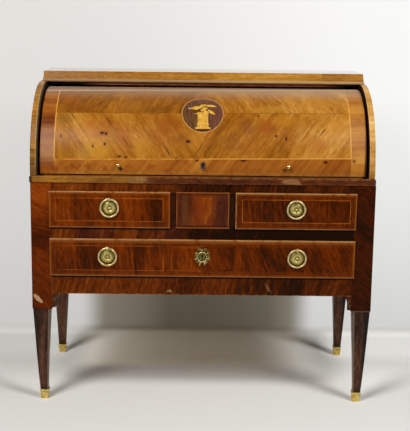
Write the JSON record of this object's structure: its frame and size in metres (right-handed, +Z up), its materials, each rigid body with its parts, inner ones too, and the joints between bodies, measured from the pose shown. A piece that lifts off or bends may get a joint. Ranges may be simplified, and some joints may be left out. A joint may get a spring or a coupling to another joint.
{
  "type": "cylinder desk",
  "caption": "Cylinder desk on tapered legs: a rigid quarter-round lid turns back over a pull-out writing slide, above lipped drawers with ring pulls.",
  "frame": {"origin": "on the floor, at the middle of the desk's outline", "axes": "+X to the sitter's right seen from the front, +Y to the back, +Z up; the front faces -Y"},
  "size_m": [1.12, 0.5682, 1.085],
  "materials": {
    "cylinder_veneer": "golden polished veneer",
    "carcass_veneer": "reddish-brown polished veneer",
    "rail_wood": "dark polished veneer",
    "leg_wood": "dark polished wood",
    "inner_wood": "plain waxed wood",
    "brass": "old cast brass",
    "iron": "blackened iron",
    "leather": "worn green leather"
  },
  "bodies": {
    "carcass": {"top_board_panel": "cylinder_veneer", "top_moulding": "cylinder_veneer", "left_cheek": "cylinder_veneer", "right_cheek": "cylinder_veneer", "front_left_post": "carcass_veneer", "front_right_post": "carcass_veneer", "rear_left_post": "carcass_veneer", "rear_right_post": "carcass_veneer", "left_side_panel": "carcass_veneer", "right_side_panel": "carcass_veneer", "apron_rail": "rail_wood", "middle_rail_board": "rail_wood", "upper_rail": "rail_wood", "drawer_dividers": "rail_wood", "corner_brackets": "rail_wood", "top_under_rail": "rail_wood", "front_left_leg": "leg_wood", "front_right_leg": "leg_wood", "rear_left_leg": "leg_wood", "rear_right_leg": "leg_wood", "lower_back_panel": "inner_wood", "upper_back_panel": "inner_wood", "dustboard": "inner_wood", "drawer_runners": "inner_wood", "slide_guides": "inner_wood", "fitment_boards": "inner_wood", "fitment_uprights": "inner_wood", "sabots": "brass", "cylinder_pivots": "iron"},
    "cylinder": {"cylinder_shell": "cylinder_veneer", "cylinder_arms": "iron", "cylinder_knobs": "brass", "cylinder_escutcheon": "brass", "cylinder_lock": "iron"},
    "cylinder_bolt": {"cylinder_lock_bolt": "iron"},
    "slide": {"writing_slide": "inner_wood", "slide_lip": "cylinder_veneer", "writing_leather": "leather"},
    "left_drawer": {"left_drawer_front": "carcass_veneer", "left_drawer_box": "inner_wood", "left_drawer_pull_plate": "brass"},
    "left_ring": {"left_drawer_ring": "brass"},
    "right_drawer": {"right_drawer_front": "carcass_veneer", "right_drawer_box": "inner_wood", "right_drawer_pull_plate": "brass"},
    "right_ring": {"right_drawer_ring": "brass"},
    "centre_drawer": {"centre_drawer_front": "carcass_veneer", "centre_drawer_box": "inner_wood"},
    "long_drawer": {"long_drawer_front": "carcass_veneer", "long_drawer_box": "inner_wood", "long_drawer_pull_plates": "brass", "long_drawer_escutcheon": "brass", "long_drawer_lock": "iron"},
    "long_left_ring": {"long_drawer_left_ring": "brass"},
    "long_right_ring": {"long_drawer_right_ring": "brass"},
    "long_drawer_bolt": {"long_drawer_lock_bolt": "iron"},
    "left_small_drawer": {"left_small_drawer": "inner_wood"},
    "right_small_drawer": {"right_small_drawer": "inner_wood"}
  },
  "joints": [
    {"name": "cylinder_turn", "type": "hinge", "parent": "carcass", "child": "cylinder", "pos_m": [0, 0.01312, 0.783], "axis": [-1, 0, 0], "range_deg": [0, 85]},
    {"name": "cylinder_bolt_throw", "type": "slide", "parent": "cylinder", "child": "cylinder_bolt", "axis": [0, 0, -1], "range_m": [0, 0.009]},
    {"name": "writing_slide_pull", "type": "slide", "parent": "carcass", "child": "slide", "axis": [0, -1, 0], "range_m": [0, 0.24]},
    {"name": "left_drawer_pull", "type": "slide", "parent": "carcass", "child": "left_drawer", "axis": [0, -1, 0], "range_m": [0, 0.33]},
    {"name": "left_ring_swing", "type": "hinge", "parent": "left_drawer", "child": "left_ring", "pos_m": [-0.30325, -0.27987, 0.69475], "axis": [-1, 0, 0], "range_deg": [0, 100]},
    {"name": "right_drawer_pull", "type": "slide", "parent": "carcass", "child": "right_drawer", "axis": [0, -1, 0], "range_m": [0, 0.33]},
    {"name": "right_ring_swing", "type": "hinge", "parent": "right_drawer", "child": "right_ring", "pos_m": [0.30325, -0.27987, 0.69475], "axis": [-1, 0, 0], "range_deg": [0, 100]},
    {"name": "centre_drawer_pull", "type": "slide", "parent": "carcass", "child": "centre_drawer", "axis": [0, -1, 0], "range_m": [0, 0.33]},
    {"name": "long_drawer_pull", "type": "slide", "parent": "carcass", "child": "long_drawer", "axis": [0, -1, 0], "range_m": [0, 0.33]},
    {"name": "long_left_ring_swing", "type": "hinge", "parent": "long_drawer", "child": "long_left_ring", "pos_m": [-0.31025, -0.27987, 0.53225], "axis": [-1, 0, 0], "range_deg": [0, 100]},
    {"name": "long_right_ring_swing", "type": "hinge", "parent": "long_drawer", "child": "long_right_ring", "pos_m": [0.31025, -0.27987, 0.53225], "axis": [-1, 0, 0], "range_deg": [0, 100]},
    {"name": "long_drawer_bolt_throw", "type": "slide", "parent": "long_drawer", "child": "long_drawer_bolt", "axis": [0, 0, 1], "range_m": [0, 0.009]},
    {"name": "left_small_drawer_pull", "type": "slide", "parent": "carcass", "child": "left_small_drawer", "axis": [0, -1, 0], "range_m": [0, 0.12]},
    {"name": "right_small_drawer_pull", "type": "slide", "parent": "carcass", "child": "right_small_drawer", "axis": [0, -1, 0], "range_m": [0, 0.12]}
  ]
}
